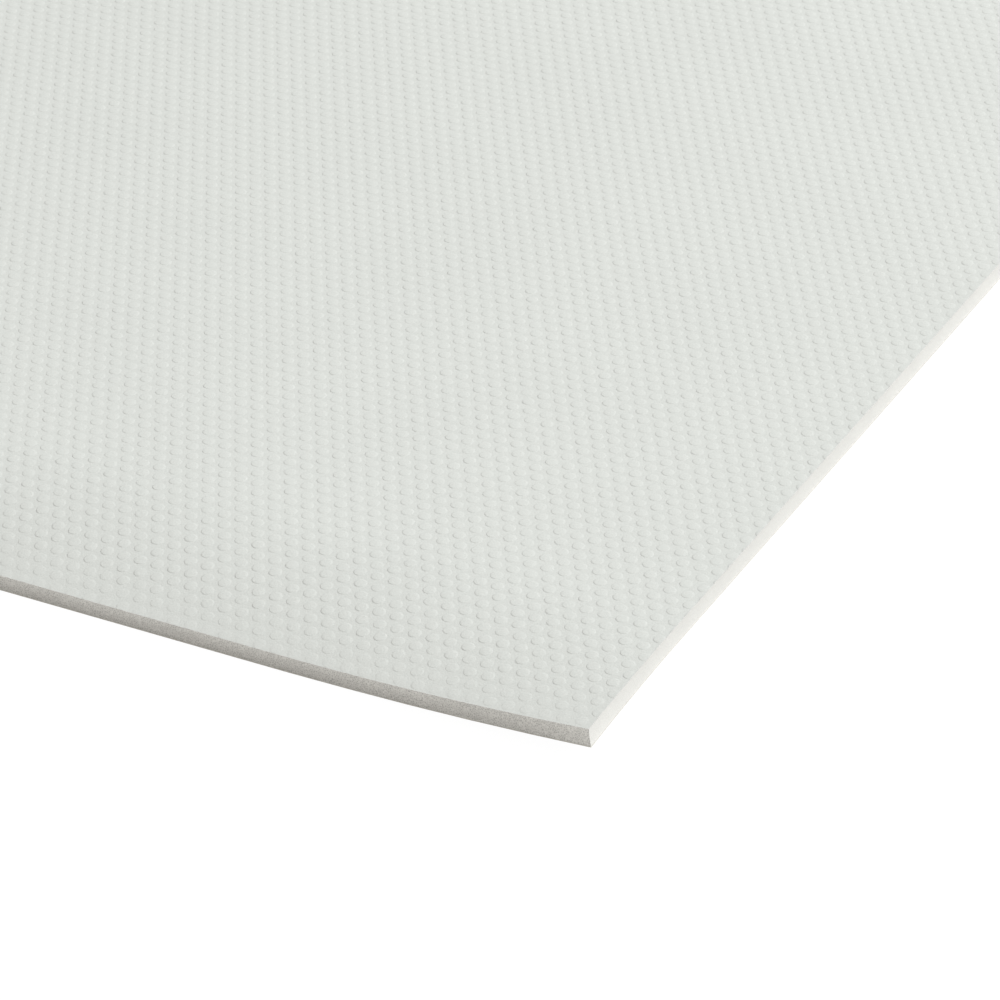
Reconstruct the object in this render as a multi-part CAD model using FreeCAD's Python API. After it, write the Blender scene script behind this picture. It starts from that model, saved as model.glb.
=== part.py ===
"""Self-adhesive anti-slip foam sheet, as laid on diving boards, pool steps and decks.

The sheet is a stack of three flat layers, cut through together with square corners:

    foam_sheet      closed-cell foam with raised round dots on its upper side
    adhesive_film   pressure-sensitive adhesive over the whole underside
    release_liner   coated paper that covers the adhesive until the sheet is laid

Millimetres, +Z up, +X along the long side. The origin is the centre of the underside, on the
surface that the sheet lies on. Each layer starts on the face of the layer below, so a change of
one thickness carries all the layers above it along.
"""

import FreeCAD, Part
import os

# Driving dimensions
SHEET_LENGTH = 965.0  # along X, a 38 inch cut
SHEET_WIDTH = 457.0  # along Y, an 18 inch cut
FOAM_THICKNESS = 5.0  # from the underside to the tops of the dots
ADHESIVE_THICKNESS = 0.13
LINER_THICKNESS = 0.11


def layer(bottom, thickness):
    """A flat layer of the sheet's outline, centred on Z, that starts at the height `bottom`."""
    corner = FreeCAD.Vector(-SHEET_LENGTH / 2, -SHEET_WIDTH / 2, bottom)
    return Part.makeBox(SHEET_LENGTH, SHEET_WIDTH, thickness, corner)


def sheet_layers():
    """The sheet's layers by node name, from the surface that it lies on upwards."""
    stack = [
        ("release_liner", LINER_THICKNESS),
        ("adhesive_film", ADHESIVE_THICKNESS),
        ("foam_sheet", FOAM_THICKNESS),
    ]
    layers = {}
    bottom = 0.0
    for name, thickness in stack:
        layers[name] = layer(bottom, thickness)
        bottom += thickness
    return layers


os.makedirs("parts", exist_ok=True)
for node, shape in sheet_layers().items():
    shape.exportStep(f"parts/{node}.step")
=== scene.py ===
"""Looks of an anti-slip foam sheet that lies on a studio floor with its release liner on.

Everything is in metres, +Z up and +X along the sheet's long side, with the origin at the centre of
its underside. Three pieces stand for the three packed layers, and each takes its outline and its
heights from them:

    foam_tread      closed-cell foam, embossed with round dots and cut square with a knife
    adhesive_coat   the tacky film over the foam's whole underside
    liner_paper     the coated paper that the film is peeled from

The pieces are made flat, as they are cut, and then take the same shallow arch, which the sheet
keeps from the roll that it was cut from.
"""

import logging
import math
from dataclasses import dataclass
from enum import Enum, IntEnum

import bmesh
import bpy
import numpy as np
from mathutils import Matrix, Vector


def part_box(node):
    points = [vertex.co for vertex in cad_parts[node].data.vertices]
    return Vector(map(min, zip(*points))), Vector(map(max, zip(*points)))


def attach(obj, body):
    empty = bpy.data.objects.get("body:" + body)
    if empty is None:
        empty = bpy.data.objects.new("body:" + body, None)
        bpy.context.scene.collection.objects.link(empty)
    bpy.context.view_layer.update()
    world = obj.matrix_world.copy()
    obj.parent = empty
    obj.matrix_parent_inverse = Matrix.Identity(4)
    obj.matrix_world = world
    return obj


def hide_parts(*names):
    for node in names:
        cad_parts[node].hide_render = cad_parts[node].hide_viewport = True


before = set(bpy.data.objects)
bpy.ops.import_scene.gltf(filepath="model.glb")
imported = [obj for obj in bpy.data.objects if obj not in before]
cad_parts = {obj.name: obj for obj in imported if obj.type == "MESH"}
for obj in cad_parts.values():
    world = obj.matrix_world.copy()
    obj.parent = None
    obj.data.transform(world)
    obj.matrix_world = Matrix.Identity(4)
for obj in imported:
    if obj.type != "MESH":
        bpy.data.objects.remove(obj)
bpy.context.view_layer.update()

MM = 0.001
BAKE_MAP = "OFBake"
MERGED = 0.001 * MM  # points nearer than this are one point
log = logging.getLogger("foam_sheet")

Socket = bpy.types.NodeSocket


class Body(Enum):
    """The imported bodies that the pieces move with."""

    LINER = "liner"
    PAD = "pad"


class Level(Enum):
    """Attributes that tell a material how high up a point lies, from 0 to 1."""

    SHEET = "level_in_sheet"
    DOT = "level_in_dot"


class Surface(IntEnum):
    """The foam's surfaces, in the order of its material slots."""

    SKIN = 0
    CUT = 1
    # The ends take a darker copy of the cut foam: painted shade against the key lamp's light on the
    # right end.
    CUT_ENDS_SHADED = 2


# Shape


@dataclass(frozen=True)
class Unevenness:
    """A smooth, seeded variation over the sheet, about as often up as down.

    Attributes:
        wavelength: Usual distance from one rise to the next.
        seed: Picks the variation.
        waves: How many plane waves are added up.
    """

    wavelength: float
    seed: int
    waves: int = 10

    def at(self, x: np.ndarray, y: np.ndarray) -> np.ndarray:
        """The variation at points.

        Args:
            x: Places along the sheet.
            y: Places across the sheet.

        Returns:
            One value per point, mostly from -2 to 2.
        """
        draw = np.random.default_rng(self.seed)
        total = np.zeros_like(x)
        for _ in range(self.waves):
            turn, phase = draw.uniform(0, 2 * math.pi, 2)
            rate = 2 * math.pi / (self.wavelength * draw.uniform(0.7, 1.5))
            total += np.cos(rate * (x * math.cos(turn) + y * math.sin(turn)) + phase)
        return total / math.sqrt(self.waves / 2)


@dataclass(frozen=True)
class Droop:
    """How one long edge sinks from the raised middle of the sheet.

    Attributes:
        reach: Width of the band along the edge that sinks.
        left_lift: Share of the drop that the left corner keeps from making.
        right_lift: Share of the drop that the right corner keeps from making.
        corner_reach: How far along the edge a corner's lift is felt.
    """

    reach: float
    left_lift: float
    right_lift: float
    corner_reach: float

    def share(self, inward: np.ndarray, from_left: np.ndarray, from_right: np.ndarray) -> np.ndarray:
        """The share of the full drop at points.

        Args:
            inward: Distances in from the long edge.
            from_left: Distances from the left short edge.
            from_right: Distances from the right short edge.

        Returns:
            One share per point, 0 in the raised middle.
        """
        drop = np.clip(1 - inward / self.reach, 0, None) ** 2
        left = self.left_lift * np.clip(1 - from_left / self.corner_reach, 0, None) ** 2
        right = self.right_lift * np.clip(1 - from_right / self.corner_reach, 0, None) ** 2
        return drop * (1 - left - right)


@dataclass(frozen=True)
class Arch:
    """The shallow arch in which the sheet lies: its long edges rest on the floor.

    Attributes:
        length: The sheet's length along X.
        width: The sheet's width along Y.
        top: Height of the flat sheet's upper side, whose places along the floor stay as they are.
        rise: How far the middle is lifted.
        front: How the edge at -Y sinks.
        back: How the edge at +Y sinks.
        step: Largest distance between the lines on which a plain face is creased.
    """

    length: float
    width: float
    top: float
    rise: float = 5.13 * MM
    front: Droop = Droop(50.2 * MM, 0.35, 0.764, 85.1 * MM)
    back: Droop = Droop(64.0 * MM, 0.6, 0.42, 96.0 * MM)
    step: float = 8.0 * MM

    def lift(self, x: np.ndarray, y: np.ndarray) -> np.ndarray:
        """How far the upper side is lifted.

        Args:
            x: Places along the flat sheet.
            y: Places across the flat sheet.

        Returns:
            One height per point.
        """
        from_left = x + self.length / 2
        from_right = self.length / 2 - x
        front = self.front.share(y + self.width / 2, from_left, from_right)
        back = self.back.share(self.width / 2 - y, from_left, from_right)
        return self.rise * (1 - front - back)

    def crease_lines(self) -> list[tuple[Vector, Vector]]:
        """The lines on which plain faces are creased, so that they can follow the arch.

        Returns:
            A point on each line's upright plane, and that plane's normal.
        """
        lines = []
        along = Vector((1, 0, 0))
        across = Vector((0, 1, 0))
        for droop, side in ((self.front, -1), (self.back, 1)):
            count = math.ceil(droop.reach / self.step)
            for k in range(1, count + 1):
                inward = droop.reach * k / count
                lines.append((across * side * (self.width / 2 - inward), across))
        reach = max(self.front.corner_reach, self.back.corner_reach)
        count = math.ceil(reach / (2 * self.step))
        for side in (-1, 1):
            for k in range(1, count + 1):
                inward = reach * k / count
                lines.append((along * side * (self.length / 2 - inward), along))
        return lines

    def bend(self, mesh: bpy.types.Mesh) -> None:
        """Moves a flat mesh into the arch, with its thickness kept square to the upper side.

        Args:
            mesh: The mesh, whose points are moved.
        """
        flat = np.empty(len(mesh.vertices) * 3, np.float32)
        mesh.vertices.foreach_get("co", flat)
        x, y, z = flat.reshape(-1, 3).astype(float).T
        nudge = 0.05 * MM
        slope_x = (self.lift(x + nudge, y) - self.lift(x - nudge, y)) / (2 * nudge)
        slope_y = (self.lift(x, y + nudge) - self.lift(x, y - nudge)) / (2 * nudge)
        above = (z - self.top) / np.sqrt(1 + slope_x**2 + slope_y**2)
        bent = np.stack(
            [x - above * slope_x, y - above * slope_y, self.top + self.lift(x, y) + above], 1
        )
        mesh.vertices.foreach_set("co", bent.astype(np.float32).ravel())
        mesh.update()


@dataclass(frozen=True)
class DotPattern:
    """Raised round dots in rows, each row half a pitch on from the last.

    Attributes:
        pitch: Distance between neighbouring dots.
        turn: Angle between the rows and the sheet's front edge.
        corner_dot: The dot nearest the front right corner, from that corner.
        profile: Each ring of a dot, from its foot to its flat top: its radius, its height, and
            how far the roller has dragged it.
        drag: The direction in which the roller drags the dots as it leaves them.
    """

    pitch: float = 4.7625 * MM
    turn: float = math.radians(0.6)
    corner_dot: tuple[float, float] = (-3.0 * MM, 2.46 * MM)
    profile: tuple[tuple[float, float, float], ...] = (
        (1.71 * MM, 0.0, 0.0),
        (1.52 * MM, 0.064 * MM, 0.10 * MM),
        (1.22 * MM, 0.095 * MM, 0.15 * MM),
    )
    drag: tuple[float, float] = (-0.6, -0.8)

    @property
    def row(self) -> float:
        """Distance between neighbouring rows."""
        return self.pitch * math.sqrt(3) / 2

    @property
    def dot_height(self) -> float:
        """Height of the dots' tops over the ground between them."""
        return self.profile[-1][1]

    def cell(self) -> bmesh.types.BMesh:
        """One dot at the origin, crisp at its foot, with the six-sided ground round it.

        Returns:
            A new bmesh of the tile, with the ground at height 0.
        """
        bm = bmesh.new()
        bmesh.ops.create_circle(bm, cap_ends=True, radius=self.pitch / math.sqrt(3), segments=6)
        bmesh.ops.subdivide_edges(bm, edges=bm.edges[:], cuts=1)
        inset = 0.1 * MM  # each new ring is then moved to its own radius
        for radius, height, dragged in self.profile:
            inner = max(bm.faces, key=lambda face: len(face.verts))
            bmesh.ops.inset_individual(bm, faces=[inner], thickness=inset, use_even_offset=False)
            for vert in inner.verts:
                ring = vert.co.xy.normalized() * radius + Vector(self.drag) * dragged
                vert.co = Vector((ring.x, ring.y, height))
        foot = self.profile[0][0]
        near = 0.01 * MM
        for edge in bm.edges:
            edge.smooth = any(abs(vert.co.length - foot) > near for vert in edge.verts)
        return bm

    def tiles(self, length: float, width: float) -> bmesh.types.BMesh:
        """The pattern over a sheet of this size and a little more, as one open surface.

        Args:
            length: The sheet's length along X.
            width: The sheet's width along Y.

        Returns:
            The surface, turned and in its place over the sheet, with the ground at height 0.
        """
        bm = self.cell()
        copy = bmesh.ops.duplicate(bm, geom=bm.verts[:] + bm.edges[:] + bm.faces[:])["geom"]
        second = [item for item in copy if isinstance(item, bmesh.types.BMVert)]
        bmesh.ops.translate(bm, verts=second, vec=(self.pitch / 2, self.row, 0))
        spare = 2
        left = math.ceil(length / self.pitch) + spare
        columns = left + 2 * spare
        rows = math.ceil((width + length * math.sin(self.turn)) / (2 * self.row)) + 2 * spare
        bm = self._repeated(bm, ((columns, (self.pitch, 0, 0)), (rows, (0, 2 * self.row, 0))))
        bmesh.ops.translate(bm, verts=bm.verts, vec=(-left * self.pitch, -spare * self.row, 0))
        bmesh.ops.rotate(bm, verts=bm.verts, matrix=Matrix.Rotation(self.turn, 3, "Z"))
        corner = Vector((length / 2, -width / 2, 0))
        bmesh.ops.translate(bm, verts=bm.verts, vec=corner + Vector((*self.corner_dot, 0)))
        return bm

    def _repeated(
        self, bm: bmesh.types.BMesh, repeats: tuple[tuple[int, tuple[float, ...]], ...]
    ) -> bmesh.types.BMesh:
        """The tile repeated by counts and steps, with the tiles' edges merged.

        Args:
            bm: The tile, which is used up.
            repeats: For each direction, how many tiles there are and the step between them.

        Returns:
            A new bmesh of all the tiles.
        """
        merge = 0.01 * MM
        mesh = bpy.data.meshes.new("tile")
        bm.to_mesh(mesh)
        bm.free()
        tile = bpy.data.objects.new("tile", mesh)
        bpy.context.scene.collection.objects.link(tile)
        for count, step in repeats:
            array = tile.modifiers.new("repeat", "ARRAY")
            array.count = count
            array.use_relative_offset = False
            array.use_constant_offset = True
            array.constant_offset_displace = step
            array.use_merge_vertices = True
            array.merge_threshold = merge
        graph = bpy.context.evaluated_depsgraph_get()
        repeated = bpy.data.meshes.new_from_object(tile.evaluated_get(graph))
        bm = bmesh.new()
        bm.from_mesh(repeated)
        bmesh.ops.remove_doubles(bm, verts=bm.verts, dist=merge)
        bpy.data.objects.remove(tile)
        bpy.data.meshes.remove(mesh)
        bpy.data.meshes.remove(repeated)
        return bm


def parts_of(faces: list[bmesh.types.BMFace]) -> list:
    """Faces with each of their edges and corners once, as the bmesh operators take them.

    Args:
        faces: The faces.

    Returns:
        The corners, the edges and the faces.
    """
    edges = {edge for face in faces for edge in face.edges}
    verts = {vert for face in faces for vert in face.verts}
    return [*verts, *edges, *faces]


def crease(bm: bmesh.types.BMesh, faces: list[bmesh.types.BMFace], arch: Arch) -> None:
    """Cuts flat faces along the arch's crease lines.

    Args:
        bm: The mesh that the faces belong to.
        faces: The faces to cut.
        arch: The arch that they will follow.
    """
    for place, normal in arch.crease_lines():
        cut = bmesh.ops.bisect_plane(
            bm, geom=parts_of(faces), dist=MERGED, plane_co=place, plane_no=normal
        )
        faces = [item for item in cut["geom"] if isinstance(item, bmesh.types.BMFace)]


def linked_object(name: str, mesh: bpy.types.Mesh) -> bpy.types.Object:
    """A new object, in the scene and at the origin.

    Args:
        name: The object's name.
        mesh: Its mesh.

    Returns:
        The object.
    """
    made = bpy.data.objects.new(name, mesh)
    bpy.context.scene.collection.objects.link(made)
    return made


# Finishes


class NodeTree:
    """Adds nodes to one shader tree, or to one node group, and links them."""

    def __init__(self, tree: bpy.types.NodeTree) -> None:
        """Starts on a tree, which is empty until now."""
        self.tree = tree

    def add(self, kind: str, settings: dict | None = None, **inputs: object) -> bpy.types.Node:
        """Adds a node.

        Args:
            kind: The node's type name, without its ShaderNode prefix.
            settings: The node's own options.
            **inputs: A value or a socket for each input, by its name with _ for a space.

        Returns:
            The node.
        """
        node = self.tree.nodes.new("ShaderNode" + kind)
        for key, value in (settings or {}).items():
            setattr(node, key, value)
        for key, value in inputs.items():
            self.put(node.inputs[key.replace("_", " ")], value)
        return node

    def put(self, target: Socket, value: object) -> None:
        """Links a socket to an input, or sets the input to a value.

        Args:
            target: The input.
            value: The socket or the value.
        """
        if isinstance(value, bpy.types.NodeSocket):
            self.tree.links.new(value, target)
        else:
            target.default_value = value

    def maths(self, operation: str, first: object, second: object) -> Socket:
        """A sum on two values or sockets.

        Args:
            operation: The Math node's operation.
            first: Its first value or socket.
            second: Its second value or socket.

        Returns:
            The socket with the result.
        """
        node = self.add("Math", {"operation": operation})
        self.put(node.inputs[0], first)
        self.put(node.inputs[1], second)
        return node.outputs[0]

    def between(self, value: Socket, low: float, high: float) -> Socket:
        """A value from 0 to 1 spread out from low to high."""
        node = self.add("MapRange", None, Value=value, To_Min=low, To_Max=high)
        return node.outputs["Result"]

    def shaded(self, colour: object, factor: object) -> Socket:
        """A colour times a grey factor.

        Args:
            colour: The colour, or a socket with it.
            factor: The factor, or a socket with it.

        Returns:
            The socket with the product.
        """
        node = self.add("VectorMath", {"operation": "SCALE"})
        self.put(node.inputs["Vector"], colour)
        self.put(node.inputs["Scale"], factor)
        return node.outputs["Vector"]


class Effect(Enum):
    """The node groups that several finishes use."""

    GRAIN = "fine_grain"
    MOTTLE = "soft_mottle"


def group_tree(effect: Effect, inputs: dict[str, str], outputs: dict[str, str]) -> NodeTree:
    """A new node group with its sockets.

    Args:
        effect: The effect that it makes.
        inputs: Each input's name and socket type.
        outputs: Each output's name and socket type.

    Returns:
        The group's tree, to add nodes to.
    """
    tree = bpy.data.node_groups.new(effect.value, "ShaderNodeTree")
    for sockets, way in ((inputs, "INPUT"), (outputs, "OUTPUT")):
        for name, kind in sockets.items():
            tree.interface.new_socket(name=name, in_out=way, socket_type="NodeSocket" + kind)
    return NodeTree(tree)


def make_grain() -> None:
    """Makes the group for a fine pebbled grain: a height, and a mask from 0 to 1."""
    softness = 0.8  # how much neighbouring pebbles run into each other
    finer = 1.3  # how much finer the noise is than the pebbles
    pebble_share = 0.6  # how much of the height the pebbles make
    nodes = group_tree(
        Effect.GRAIN,
        {"Vector": "Vector", "Grain Size": "Float"},
        {"Height": "Float", "Mask": "Float"},
    )
    given = nodes.tree.nodes.new("NodeGroupInput")
    rate = nodes.maths("DIVIDE", 1.0, given.outputs["Grain Size"])
    pebbles = nodes.add(
        "TexVoronoi",
        {"feature": "SMOOTH_F1"},
        Vector=given.outputs["Vector"],
        Scale=rate,
        Smoothness=softness,
    )
    fine = nodes.add(
        "TexNoise",
        None,
        Vector=given.outputs["Vector"],
        Scale=nodes.maths("MULTIPLY", rate, finer),
        Detail=3.0,
        Roughness=0.6,
    )
    dome = nodes.maths("SUBTRACT", 1.0, pebbles.outputs["Distance"])
    domes = nodes.maths("MULTIPLY", dome, pebble_share)
    height = nodes.maths("ADD", domes, fine.outputs["Fac"])
    out = nodes.tree.nodes.new("NodeGroupOutput")
    nodes.put(out.inputs["Height"], height)
    nodes.put(out.inputs["Mask"], fine.outputs["Fac"])


def make_mottle() -> None:
    """Makes the group that varies a colour's lightness in soft patches and in fine specks."""
    nodes = group_tree(
        Effect.MOTTLE,
        {
            "Vector": "Vector",
            "Color": "Color",
            "Patch Size": "Float",
            "Patch Amount": "Float",
            "Speck": "Float",
            "Speck Amount": "Float",
        },
        {"Color": "Color"},
    )
    given = nodes.tree.nodes.new("NodeGroupInput")
    patches = nodes.add(
        "TexNoise",
        None,
        Vector=given.outputs["Vector"],
        Scale=nodes.maths("DIVIDE", 1.0, given.outputs["Patch Size"]),
        Detail=2.0,
    )
    centred = nodes.maths("SUBTRACT", patches.outputs["Fac"], 0.5)
    specks = nodes.maths("SUBTRACT", given.outputs["Speck"], 0.5)
    change = nodes.maths(
        "ADD",
        nodes.maths("MULTIPLY", centred, given.outputs["Patch Amount"]),
        nodes.maths("MULTIPLY", specks, given.outputs["Speck Amount"]),
    )
    out = nodes.tree.nodes.new("NodeGroupOutput")
    factor = nodes.maths("ADD", change, 1.0)
    nodes.put(out.inputs["Color"], nodes.shaded(given.outputs["Color"], factor))


@dataclass(frozen=True)
class Finish:
    """What all the sheet's materials have in common.

    Attributes:
        name: The material's name.
        colour: Linear red, green and blue of the plain material.
        roughness: Lowest and highest roughness.
        grain_size: Size of the finest pebbles.
        grain_depth: How deep the grain is pressed.
        patch_size: Size of the soft lighter and darker patches.
        patch_amount: How much those patches vary the lightness.
        speck_amount: How much the grain varies the lightness.
        specular: The shader's specular level.
    """

    name: str
    colour: tuple[float, float, float]
    roughness: tuple[float, float]
    grain_size: float
    grain_depth: float
    patch_size: float
    patch_amount: float
    speck_amount: float
    specular: float

    def start(self) -> tuple[bpy.types.Material, NodeTree, bpy.types.Node]:
        """A new material with its shader.

        Returns:
            The material, its tree and its Principled shader.
        """
        material = bpy.data.materials.new(self.name)
        material.use_nodes = True
        material.diffuse_color = (*self.colour, 1.0)
        material.node_tree.nodes.clear()
        nodes = NodeTree(material.node_tree)
        shader = nodes.add("BsdfPrincipled", None, Specular_IOR_Level=self.specular)
        out = nodes.add("OutputMaterial")
        nodes.put(out.inputs["Surface"], shader.outputs["BSDF"])
        return material, nodes, shader

    def effect(self, nodes: NodeTree, effect: Effect, **inputs: object) -> bpy.types.Node:
        """Places one of the shared node groups.

        Args:
            nodes: The tree that it goes into.
            effect: Which group.
            **inputs: A value or a socket for each input, by its name with _ for a space.

        Returns:
            The group's node.
        """
        node = nodes.add("Group", {"node_tree": bpy.data.node_groups[effect.value]})
        for key, value in inputs.items():
            nodes.put(node.inputs[key.replace("_", " ")], value)
        return node

    def dress(self, nodes: NodeTree, shader: bpy.types.Node, place: Socket) -> tuple[Socket, Socket]:
        """Adds grain, mottling and a varying roughness.

        Args:
            nodes: The material's tree.
            shader: Its shader, which gets its roughness here.
            place: The coordinates that the pattern follows.

        Returns:
            The mottled colour and the grain's height, for the caller to use.
        """
        grain = self.effect(nodes, Effect.GRAIN, Vector=place, Grain_Size=self.grain_size)
        mottle = self.effect(
            nodes,
            Effect.MOTTLE,
            Vector=place,
            Color=(*self.colour, 1.0),
            Patch_Size=self.patch_size,
            Patch_Amount=self.patch_amount,
            Speck=grain.outputs["Mask"],
            Speck_Amount=self.speck_amount,
        )
        rough = nodes.between(grain.outputs["Mask"], *self.roughness)
        nodes.put(shader.inputs["Roughness"], rough)
        return mottle.outputs["Color"], grain.outputs["Height"]

    def build(self) -> bpy.types.Material:
        """The finished material.

        Returns:
            The new material.
        """
        material, nodes, shader = self.start()
        place = nodes.add("TexCoord").outputs["Object"]
        colour, height = self.dress(nodes, shader, place)
        nodes.put(shader.inputs["Base Color"], colour)
        bump = nodes.add("Bump", None, Height=height, Distance=self.grain_depth)
        nodes.put(shader.inputs["Normal"], bump.outputs["Normal"])
        return material


@dataclass(frozen=True)
class FoamSkin(Finish):
    """The moulded skin on the dotted side: matt, finely pebbled, a little lighter on the dots' tops.

    Attributes:
        dot_shade: Lightness of the dots' tops against the ground.
    """

    dot_shade: float = 1.012

    def build(self) -> bpy.types.Material:
        """The finished material.

        Returns:
            The new material.
        """
        material, nodes, shader = self.start()
        place = nodes.add("TexCoord").outputs["Object"]
        colour, height = self.dress(nodes, shader, place)
        dot = nodes.add("Attribute", {"attribute_name": Level.DOT.value}).outputs["Fac"]
        # The colour grows a little lighter from each dot's foot up to its top.
        lighter_on_dot_tops = nodes.shaded(colour, nodes.between(dot, 1.0, self.dot_shade))
        nodes.put(shader.inputs["Base Color"], lighter_on_dot_tops)
        bump = nodes.add("Bump", None, Height=height, Distance=self.grain_depth)
        nodes.put(shader.inputs["Normal"], bump.outputs["Normal"])
        return material


@dataclass(frozen=True)
class CutFoam(Finish):
    """The knife-cut side of the foam, with its open cells and the drag of the blade, and painted
    shade in the cells and towards its underside.

    Attributes:
        cell_size: Usual width of a cell.
        cell_stretch: How much taller than wide the cells are.
        cell_painted_shade: Painted shade in the open cells: lightness inside a cell against that of
            its wall.
        cell_depth: How deep a cut cell is.
        cell_wall: How far from its edge, as a share of its width, a cell is at its darkest.
        painted_foot_shading: Painted shade along the underside: lightness there against that under
            the skin; above 1 it is painted light.
    """

    cell_size: float = 0.45 * MM
    cell_stretch: float = 1.5
    cell_painted_shade: float = 0.62
    cell_depth: float = 0.06 * MM
    cell_wall: float = 0.3
    painted_foot_shading: float = 0.86

    def build(self) -> bpy.types.Material:
        """The finished material.

        Returns:
            The new material.
        """
        material, nodes, shader = self.start()
        place = nodes.add("TexCoord").outputs["Object"]
        upright = nodes.add("Mapping", None, Vector=place, Scale=(1, 1, 1 / self.cell_stretch))
        colour, height = self.dress(nodes, shader, upright.outputs["Vector"])
        cells = nodes.add(
            "TexVoronoi",
            {"feature": "DISTANCE_TO_EDGE"},
            Vector=upright.outputs["Vector"],
            Scale=1 / self.cell_size,
        )
        wall = nodes.add(
            "MapRange", None, Value=cells.outputs["Distance"], From_Max=self.cell_wall
        )
        # Painted shade: each open cell is darker inside than at its wall.
        inside = nodes.between(wall.outputs["Result"], 1.0, self.cell_painted_shade)
        # Painted shade towards the underside of the long cut sides, and painted light there on the
        # ends.
        level = nodes.add("Attribute", {"attribute_name": Level.SHEET.value}).outputs["Fac"]
        painted_cell_and_foot_shade = nodes.maths("MULTIPLY", inside, nodes.between(level, self.painted_foot_shading, 1.0))
        nodes.put(shader.inputs["Base Color"], nodes.shaded(colour, painted_cell_and_foot_shade))
        hollow = nodes.maths("MULTIPLY", wall.outputs["Result"], -self.cell_depth)
        rough = nodes.maths("MULTIPLY", height, self.grain_depth)
        relief = nodes.maths("ADD", hollow, rough)
        bump = nodes.add("Bump", None, Height=relief, Distance=1.0)
        nodes.put(shader.inputs["Normal"], bump.outputs["Normal"])
        return material


SKIN = FoamSkin(
    name="foam_skin",
    colour=(0.474, 0.484, 0.472),
    roughness=(0.70, 0.90),
    grain_size=0.50 * MM,
    grain_depth=0.04 * MM,
    patch_size=45 * MM,
    patch_amount=0.04,
    speck_amount=0.34,
    specular=0.25,
)
# The cut sides wear two copies of one foam: this lighter, warmer one on the long sides, which face
# away from the key lamp, and a darker one on the ends; the difference between them is painted light
# and shade.
CUT = CutFoam(
    name="foam_cut_cells",
    colour=(0.630, 0.617, 0.592),
    roughness=(0.75, 0.95),
    grain_size=0.36 * MM,
    grain_depth=0.02 * MM,
    patch_size=12 * MM,
    patch_amount=0.10,
    speck_amount=0.45,
    specular=0.2,
)
# The darker, plainer copy for the ends: painted shade that takes off some of the key lamp's light on
# the right end.
CUT_ENDS_SHADED = CutFoam(
    name="foam_cut_ends_painted_shade",
    colour=(0.490, 0.482, 0.468),
    roughness=(0.70, 0.90),
    grain_size=0.36 * MM,
    grain_depth=0.01 * MM,
    patch_size=12 * MM,
    patch_amount=0.05,
    speck_amount=0.12,
    specular=0.25,
    cell_painted_shade=0.92,
    cell_depth=0.02 * MM,
    painted_foot_shading=1.10,
)
ADHESIVE = Finish(
    name="adhesive_film",
    colour=(0.50, 0.48, 0.43),
    roughness=(0.12, 0.30),
    grain_size=1.6 * MM,
    grain_depth=0.02 * MM,
    patch_size=20 * MM,
    patch_amount=0.12,
    speck_amount=0.06,
    specular=0.5,
)
LINER = Finish(
    name="coated_liner_paper",
    colour=(0.60, 0.585, 0.55),
    roughness=(0.30, 0.48),
    grain_size=0.7 * MM,
    grain_depth=0.01 * MM,
    patch_size=30 * MM,
    patch_amount=0.06,
    speck_amount=0.08,
    specular=0.45,
)


# Pieces


@dataclass(frozen=True)
class WallRing:
    """One ring of the cut side, on the way down from the skin.

    Attributes:
        height: Height of the ring over the foam's underside.
        recess: How far in from the outline it lies.
    """

    height: float
    recess: float


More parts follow.
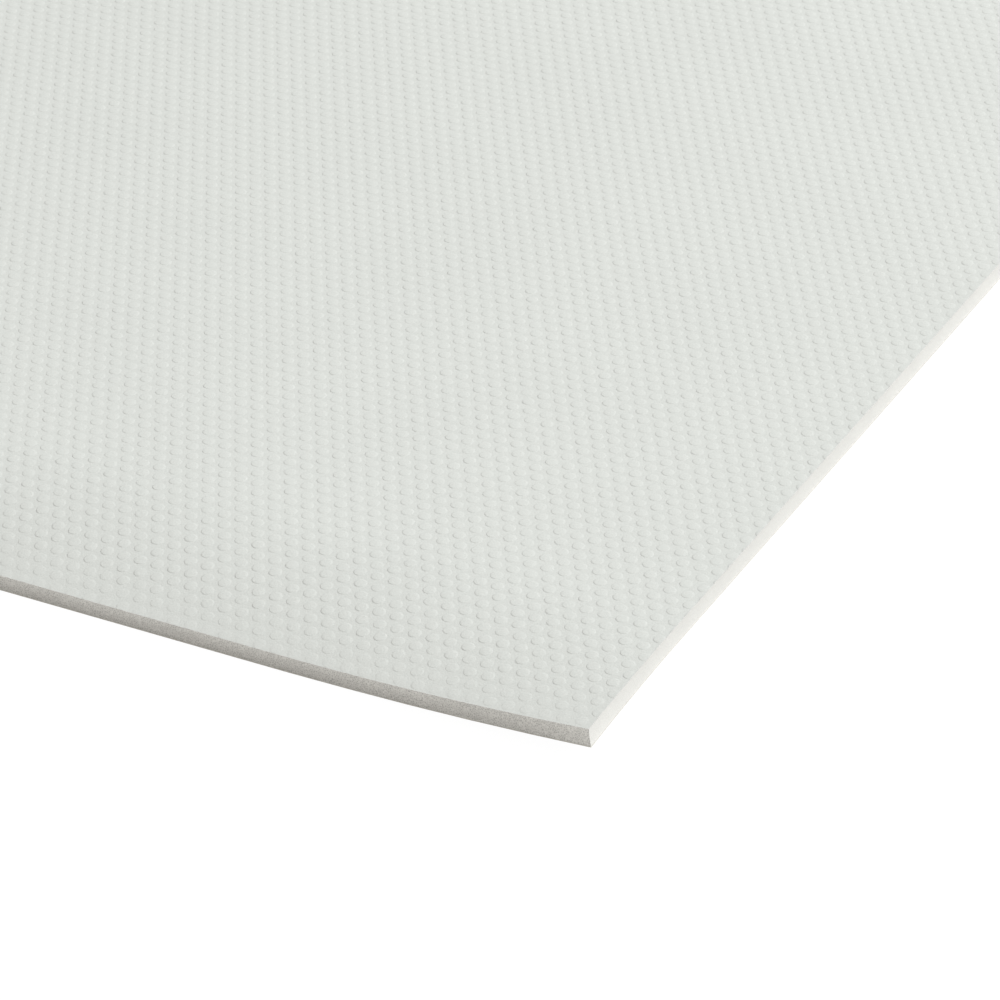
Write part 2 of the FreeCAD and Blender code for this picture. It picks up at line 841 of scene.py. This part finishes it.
@dataclass
class FoamSheet:
    """The embossed foam: dotted skin, four knife-cut sides and a flat underside.

    Attributes:
        low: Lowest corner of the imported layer.
        high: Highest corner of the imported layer.
        arch: How the sheet lies.
        dots: The embossed pattern.
        skin_lip: Thickness of the dense skin that shows at the cut.
        core_recess: How far the softer core springs back behind the skin.
        pressing: How unevenly the dots are pressed, as a share of their height.
        pressing_size: Usual distance from one lightly pressed place to the next.
        edge_band: Width of the band along the front in which the dots were flattened by the cut.
        edge_height: Share of their height that the dots keep at the very edge.
        shortest_edge: Corners of the outline that lie nearer than this are made one.
    """

    low: Vector
    high: Vector
    arch: Arch
    dots: DotPattern
    skin_lip: float = 0.12 * MM
    core_recess: float = 0.06 * MM
    pressing: float = 0.22
    pressing_size: float = 8 * MM
    edge_band: float = 14 * MM
    edge_height: float = 0.45
    shortest_edge: float = 0.03 * MM

    @property
    def ground(self) -> float:
        """Height of the ground between the dots."""
        return self.high.z - self.dots.dot_height

    @property
    def half(self) -> Vector:
        """Half the sheet's length and half its width."""
        return (self.high - self.low).xy / 2

    def build(self) -> bpy.types.Object:
        """Builds the foam.

        Returns:
            The finished piece, riding with the pad.
        """
        tread = self._cut_tread()
        core = self._sides_and_underside(tread)
        mesh = self._joined(tread, core)
        self._mark_levels(mesh)
        self._lay_out_map(mesh)
        self._press_unevenly(mesh)
        self.arch.bend(mesh)
        finishes = {Surface.SKIN: SKIN, Surface.CUT: CUT, Surface.CUT_ENDS_SHADED: CUT_ENDS_SHADED}
        for surface in Surface:
            mesh.materials.append(finishes[surface].build())
        piece = linked_object("foam_tread", mesh)
        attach(piece, Body.PAD.value)
        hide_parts("foam_sheet")
        return piece

    def _cut_tread(self) -> bmesh.types.BMesh:
        """Cuts the dotted surface to the sheet's outline.

        Returns:
            A new bmesh, open all round its edge.
        """
        bm = self.dots.tiles(2 * self.half.x, 2 * self.half.y)
        bmesh.ops.translate(bm, verts=bm.verts, vec=(0, 0, self.ground))
        for turn in ((1, 0), (-1, 0), (0, 1), (0, -1)):
            outward = Vector((*turn, 0))
            edge = abs(outward.xy.dot(self.half))
            reached = edge - self.dots.pitch
            near = [face for face in bm.faces if face.calc_center_bounds().dot(outward) > reached]
            bmesh.ops.bisect_plane(
                bm,
                geom=parts_of(near),
                dist=MERGED,
                plane_co=outward * edge,
                plane_no=outward,
                clear_outer=True,
            )
        rim = {vert for edge in bm.edges if edge.is_boundary for vert in edge.verts}
        bmesh.ops.remove_doubles(bm, verts=list(rim), dist=self.shortest_edge)
        for face in bm.faces:
            face.smooth = True
        return bm

    def _sides_and_underside(self, tread: bmesh.types.BMesh) -> bmesh.types.BMesh:
        """The sides and the underside, hung from the edge of the dotted surface.

        Args:
            tread: The dotted surface, which stays as it is.

        Returns:
            A new bmesh, open at the top along the same edge.
        """
        core = tread.copy()
        bmesh.ops.delete(core, geom=core.faces[:], context="FACES_KEEP_BOUNDARY")
        edges = core.edges[:]
        thickness = self.ground - self.low.z
        rings = (
            WallRing(thickness - self.skin_lip, 0.0),
            WallRing(thickness - 2 * self.skin_lip, self.core_recess),
            WallRing(2 * self.skin_lip, self.core_recess),
            WallRing(0.0, 0.0),
        )
        before = WallRing(thickness, 0.0)
        for ring in rings:
            lower = bmesh.ops.extrude_edge_only(core, edges=edges)["geom"]
            verts = [item for item in lower if isinstance(item, bmesh.types.BMVert)]
            edges = [
                item for item in lower if isinstance(item, bmesh.types.BMEdge) and item.is_boundary
            ]
            step = ring.recess - before.recess
            for vert in verts:
                vert.co.x *= 1 - step / self.half.x
                vert.co.y *= 1 - step / self.half.y
                vert.co.z = self.low.z + ring.height
            before = ring
        underside = bmesh.ops.contextual_create(core, geom=edges)["faces"]
        crease(core, underside, self.arch)
        bmesh.ops.recalc_face_normals(core, faces=core.faces)
        # Faces that turn along X take the darker copy of the cut foam: painted shade on the ends.
        endways = 0.7
        for face in core.faces:
            end = abs(face.normal.x) > endways
            face.material_index = Surface.CUT_ENDS_SHADED if end else Surface.CUT
        return core

    def _joined(self, tread: bmesh.types.BMesh, core: bmesh.types.BMesh) -> bpy.types.Mesh:
        """The two halves as one closed mesh, with a crisp edge where they meet.

        Args:
            tread: The dotted surface, which is used up.
            core: The sides and the underside, which are used up.

        Returns:
            The mesh, still flat.
        """
        mesh = bpy.data.meshes.new("foam_tread")
        core.to_mesh(mesh)
        core.free()
        tread.from_mesh(mesh)
        rim = {vert for edge in tread.edges if edge.is_boundary for vert in edge.verts}
        bmesh.ops.remove_doubles(tread, verts=list(rim), dist=MERGED)
        bmesh.ops.recalc_face_normals(tread, faces=tread.faces)
        for edge in {edge for vert in rim if vert.is_valid for edge in vert.link_edges}:
            if len({face.material_index for face in edge.link_faces}) > 1:
                edge.smooth = False
        open_edges = sum(not edge.is_manifold for edge in tread.edges)
        log.info("foam_tread: %d faces, %d open edges", len(tread.faces), open_edges)
        tread.to_mesh(mesh)
        tread.free()
        return mesh

    def _mark_levels(self, mesh: bpy.types.Mesh) -> None:
        """Gives each point its level in the sheet and in its dot, for the materials to read.

        Args:
            mesh: The flat mesh.
        """
        flat = np.empty(len(mesh.vertices) * 3, np.float32)
        mesh.vertices.foreach_get("co", flat)
        height = flat[2::3]
        spans = {
            Level.SHEET: (self.low.z, self.high.z),
            Level.DOT: (self.ground, self.high.z),
        }
        for level, (bottom, top) in spans.items():
            share = np.clip((height - bottom) / (top - bottom), 0, 1)
            attribute = mesh.attributes.new(level.value, "FLOAT", "POINT")
            attribute.data.foreach_set("value", share.astype(np.float32))

    def _lay_out_map(self, mesh: bpy.types.Mesh) -> None:
        """Lays the surface out on one map: the dotted side, the underside and the four sides.

        Each of them is a band of the map as wide as the map, and the sheet's length or width
        fills it.

        Args:
            mesh: The flat mesh.
        """
        count = len(mesh.loops)
        corner = np.empty(count, np.int32)
        mesh.loops.foreach_get("vertex_index", corner)
        flat = np.empty(len(mesh.vertices) * 3, np.float32)
        mesh.vertices.foreach_get("co", flat)
        place = flat.reshape(-1, 3)[corner]
        normal = np.empty(len(mesh.polygons) * 3, np.float32)
        mesh.polygons.foreach_get("normal", normal)
        sides = np.empty(len(mesh.polygons), np.int32)
        mesh.polygons.foreach_get("loop_total", sides)
        facing = np.repeat(normal.reshape(-1, 3), sides, axis=0)
        along = place[:, 0] / (2 * self.half.x) + 0.5
        across = place[:, 1] / (2 * self.half.y) + 0.5
        level = (place[:, 2] - self.low.z) / (self.high.z - self.low.z)
        steepest_skin = 0.3
        flattest_side = -0.9
        upward = facing[:, 2] > steepest_skin
        downward = facing[:, 2] < flattest_side
        side = ~upward & ~downward
        endways = np.abs(facing[:, 0]) > np.abs(facing[:, 1])
        # Which corners, what runs along their band, what runs up it, and its bottom and top.
        bands = (
            (upward, along, across, 0.0, 0.60),
            (downward, along, across, 0.62, 0.76),
            (side & ~endways & (facing[:, 1] < 0), along, level, 0.78, 0.82),
            (side & ~endways & (facing[:, 1] > 0), along, level, 0.84, 0.88),
            (side & endways & (facing[:, 0] > 0), across, level, 0.90, 0.94),
            (side & endways & (facing[:, 0] < 0), across, level, 0.96, 1.0),
        )
        spots = np.zeros((count, 2), np.float32)
        for chosen, sideways, upwards, bottom, top in bands:
            spots[chosen, 0] = sideways[chosen]
            spots[chosen, 1] = bottom + (top - bottom) * upwards[chosen]
        layer = mesh.uv_layers.new(name=BAKE_MAP, do_init=False)
        layer.uv.foreach_set("vector", np.clip(spots, 0, 1).ravel())

    def _press_unevenly(self, mesh: bpy.types.Mesh) -> None:
        """Varies the dots' height a little over the sheet, and lowers them along the front edge.

        Args:
            mesh: The flat mesh.
        """
        flat = np.empty(len(mesh.vertices) * 3, np.float32)
        mesh.vertices.foreach_get("co", flat)
        points = flat.reshape(-1, 3).astype(float)
        x, y, z = points.T
        uneven = Unevenness(self.pressing_size, seed=4).at(x, y)
        pressed = 1 - self.pressing * (0.5 + 0.5 * uneven)
        inward = np.clip((y + self.half.y) / self.edge_band, 0, 1)
        pressed *= self.edge_height + (1 - self.edge_height) * inward
        above = z > self.ground
        points[above, 2] = self.ground + (z[above] - self.ground) * np.minimum(pressed[above], 1)
        mesh.vertices.foreach_set("co", points.astype(np.float32).ravel())


@dataclass
class ThinLayer:
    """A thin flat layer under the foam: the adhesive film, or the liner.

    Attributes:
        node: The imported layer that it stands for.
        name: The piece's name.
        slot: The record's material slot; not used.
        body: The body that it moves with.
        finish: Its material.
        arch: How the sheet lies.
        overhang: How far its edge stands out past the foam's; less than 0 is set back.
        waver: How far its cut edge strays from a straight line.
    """

    node: str
    name: str
    slot: str
    body: Body
    finish: Finish
    arch: Arch
    overhang: float
    waver: float

    def build(self) -> bpy.types.Object:
        """Builds the layer.

        Returns:
            The finished piece, riding with its body.
        """
        low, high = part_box(self.node)
        bm = bmesh.new()
        bmesh.ops.create_grid(bm, x_segments=1, y_segments=1, size=1)
        half = (high - low).xy / 2 + Vector((self.overhang, self.overhang))
        bmesh.ops.scale(bm, verts=bm.verts, vec=(half.x, half.y, 1))
        bmesh.ops.translate(bm, verts=bm.verts, vec=(0, 0, low.z))
        crease(bm, bm.faces[:], self.arch)
        self._waver_edges(bm, half)
        upper = bmesh.ops.extrude_face_region(bm, geom=bm.faces[:])["geom"]
        raised = [item for item in upper if isinstance(item, bmesh.types.BMVert)]
        bmesh.ops.translate(bm, verts=raised, vec=(0, 0, high.z - low.z))
        bmesh.ops.recalc_face_normals(bm, faces=bm.faces)
        mesh = bpy.data.meshes.new(self.name)
        bm.to_mesh(mesh)
        bm.free()
        self.arch.bend(mesh)
        mesh.materials.append(self.finish.build())
        piece = linked_object(self.name, mesh)
        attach(piece, self.body.value)
        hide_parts(self.node)
        log.info("%s: %d faces", self.name, len(mesh.polygons))
        return piece

    def _waver_edges(self, bm: bmesh.types.BMesh, half: Vector) -> None:
        """Moves the points of the outline in or out by a little.

        Args:
            bm: The flat layer.
            half: Half its length and half its width.
        """
        sway = Unevenness(wavelength=70 * MM, seed=9)
        near = 0.01 * MM
        most = self.waver * 0.5
        for vert in bm.verts:
            stray = most * float(sway.at(np.array(vert.co.x), np.array(vert.co.y)))
            if abs(abs(vert.co.x) - half.x) < near:
                vert.co.x += math.copysign(stray, vert.co.x)
            if abs(abs(vert.co.y) - half.y) < near:
                vert.co.y += math.copysign(stray, vert.co.y)


# Studio


@dataclass(frozen=True)
class Lamp:
    """A soft square lamp that points at the sheet's front right corner.

    Attributes:
        name: The lamp's name.
        azimuth: Where it stands, in degrees from +Y towards +X.
        elevation: How high it stands over the floor, in degrees.
        distance: How far it is from the corner.
        size: Length of its sides.
        power: Its power in watts.
        colour: Its colour.
    """

    name: str
    azimuth: float
    elevation: float
    distance: float
    size: float
    power: float
    colour: tuple[float, float, float]

    def build(self, target: Vector) -> None:
        """Adds the lamp, unseen by the camera.

        Args:
            target: What it points at.
        """
        turn = math.radians(self.azimuth)
        rise = math.radians(self.elevation)
        flat = Vector((math.sin(turn), math.cos(turn), 0)) * math.cos(rise)
        towards = flat + Vector((0, 0, math.sin(rise)))
        data = bpy.data.lights.new(self.name, "AREA")
        data.size = self.size
        data.energy = self.power
        data.color = self.colour
        lamp = bpy.data.objects.new(self.name, data)
        lamp.location = target + towards * self.distance
        lamp.rotation_euler = towards.to_track_quat("Z", "Y").to_euler()
        lamp.visible_camera = False
        bpy.context.scene.collection.objects.link(lamp)


@dataclass(frozen=True)
class ProductCamera:
    """A long lens, low over the sheet's front right corner.

    Attributes:
        stand: Where the camera stands, from the unbent sheet's upper front right corner.
        aim: What it points at, from that corner.
        roll: How far it leans, in degrees.
        lens: Its focal length in millimetres.
    """

    stand: tuple[float, float, float] = (373.2 * MM, -739.56 * MM, 564.93 * MM)
    aim: tuple[float, float, float] = (-64.23 * MM, 78.61 * MM, 0.0)
    roll: float = -0.86
    lens: float = 157.02

    def build(self, corner: Vector) -> None:
        """Adds the camera and makes it the scene's own.

        Args:
            corner: The unbent sheet's upper front right corner.
        """
        data = bpy.data.cameras.new("product_camera")
        data.lens = self.lens
        data.sensor_width = 36.0
        data.clip_start = 0.01
        data.clip_end = 60.0
        camera = bpy.data.objects.new("product_camera", data)
        place = corner + Vector(self.stand)
        facing = (corner + Vector(self.aim) - place).to_track_quat("-Z", "Y").to_matrix()
        leaning = facing @ Matrix.Rotation(math.radians(self.roll), 3, "Z")
        camera.matrix_world = Matrix.Translation(place) @ leaning.to_4x4()
        bpy.context.scene.collection.objects.link(camera)
        bpy.context.scene.camera = camera


@dataclass(frozen=True)
class Studio:
    """A white floor and white surroundings, with soft lamps.

    Attributes:
        floor_size: Length of the floor's sides.
        floor_colour: How much of the light the floor sends back.
        floor_white: How white the floor looks even where the sheet shades it.
        floor_shading: How much of the light and shade that falls on the floor can be seen.
        sky_seen: Brightness of the surroundings as the camera sees them.
        sky_light: Brightness with which they light the sheet.
        sky_colour: Their colour.
        lamps: The lamps.
    """

    floor_size: float = 40.0
    floor_colour: float = 0.75
    floor_white: float = 0.97
    floor_shading: float = 0.08
    sky_seen: float = 1.2
    sky_light: float = 0.50
    sky_colour: tuple[float, float, float] = (1.0, 0.985, 0.95)
    lamps: tuple[Lamp, ...] = (
        Lamp(
            name="key_softbox",
            azimuth=44.0,
            elevation=38.0,
            distance=6.0,
            size=3.6,
            power=600.0,
            colour=(0.98, 1.0, 0.985),
        ),
        Lamp(
            name="front_fill",
            azimuth=205.0,
            elevation=22.0,
            distance=3.0,
            size=2.0,
            power=30.0,
            colour=(1.0, 0.97, 0.92),
        ),
    )

    def build(self, corner: Vector) -> None:
        """Adds the floor, the surroundings and the lamps.

        Args:
            corner: The corner that the lamps point at.
        """
        scene = bpy.context.scene
        scene.view_settings.view_transform = "Standard"
        scene.view_settings.look = "None"
        self._add_floor()
        self._add_surroundings(scene)
        for lamp in self.lamps:
            lamp.build(corner)

    def _add_floor(self) -> None:
        """Adds the floor, which isn't part of the object."""
        bm = bmesh.new()
        bmesh.ops.create_grid(bm, x_segments=1, y_segments=1, size=self.floor_size / 2)
        mesh = bpy.data.meshes.new("studio_floor")
        bm.to_mesh(mesh)
        bm.free()
        material = bpy.data.materials.new("studio_floor_white")
        material.use_nodes = True
        material.node_tree.nodes.clear()
        nodes = NodeTree(material.node_tree)
        card = nodes.add("BsdfDiffuse", None, Color=(*(self.floor_colour,) * 3, 1.0))
        white = nodes.add("Emission", None, Strength=self.floor_white / (1 - self.floor_shading))
        seen = nodes.add("MixShader", None, Fac=self.floor_shading)
        nodes.put(seen.inputs[1], white.outputs["Emission"])
        nodes.put(seen.inputs[2], card.outputs["BSDF"])
        choice = nodes.add("MixShader", None, Fac=nodes.add("LightPath").outputs["Is Camera Ray"])
        nodes.put(choice.inputs[1], card.outputs["BSDF"])
        nodes.put(choice.inputs[2], seen.outputs["Shader"])
        nodes.put(nodes.add("OutputMaterial").inputs["Surface"], choice.outputs["Shader"])
        mesh.materials.append(material)
        linked_object("studio_floor", mesh)

    def _add_surroundings(self, scene: bpy.types.Scene) -> None:
        """Adds white surroundings that look brighter than they light.

        Args:
            scene: The scene that they go into.
        """
        world = bpy.data.worlds.new("studio_white")
        world.use_nodes = True
        world.node_tree.nodes.clear()
        nodes = NodeTree(world.node_tree)
        lit = nodes.add(
            "Background", None, Color=(*self.sky_colour, 1.0), Strength=self.sky_light
        )
        seen = nodes.add("Background", None, Color=(1.0, 1.0, 1.0, 1.0), Strength=self.sky_seen)
        choice = nodes.add("MixShader")
        nodes.put(choice.inputs[0], nodes.add("LightPath").outputs["Is Camera Ray"])
        nodes.put(choice.inputs[1], lit.outputs["Background"])
        nodes.put(choice.inputs[2], seen.outputs["Background"])
        out = nodes.add("OutputWorld")
        nodes.put(out.inputs["Surface"], choice.outputs["Shader"])
        scene.world = world


def build_sheet() -> None:
    """Builds the sheet, its surroundings and the camera, in that order."""
    low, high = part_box("foam_sheet")
    size = high - low
    arch = Arch(length=size.x, width=size.y, top=high.z)
    make_grain()
    make_mottle()
    FoamSheet(low, high, arch, DotPattern()).build()
    ThinLayer(
        node="adhesive_film",
        name="adhesive_coat",
        slot="adhesive",
        body=Body.PAD,
        finish=ADHESIVE,
        arch=arch,
        overhang=-0.10 * MM,
        waver=0.03 * MM,
    ).build()
    liner = ThinLayer(
        node="release_liner",
        name="liner_paper",
        slot="liner",
        body=Body.LINER,
        finish=LINER,
        arch=arch,
        overhang=0.08 * MM,
        waver=0.05 * MM,
    ).build()
    corner = Vector((high.x, low.y, high.z + arch.rise))
    Studio().build(corner)
    ProductCamera().build(corner)


if __name__ == "__main__":
    logging.basicConfig(level=logging.INFO, format="%(message)s")
    build_sheet()
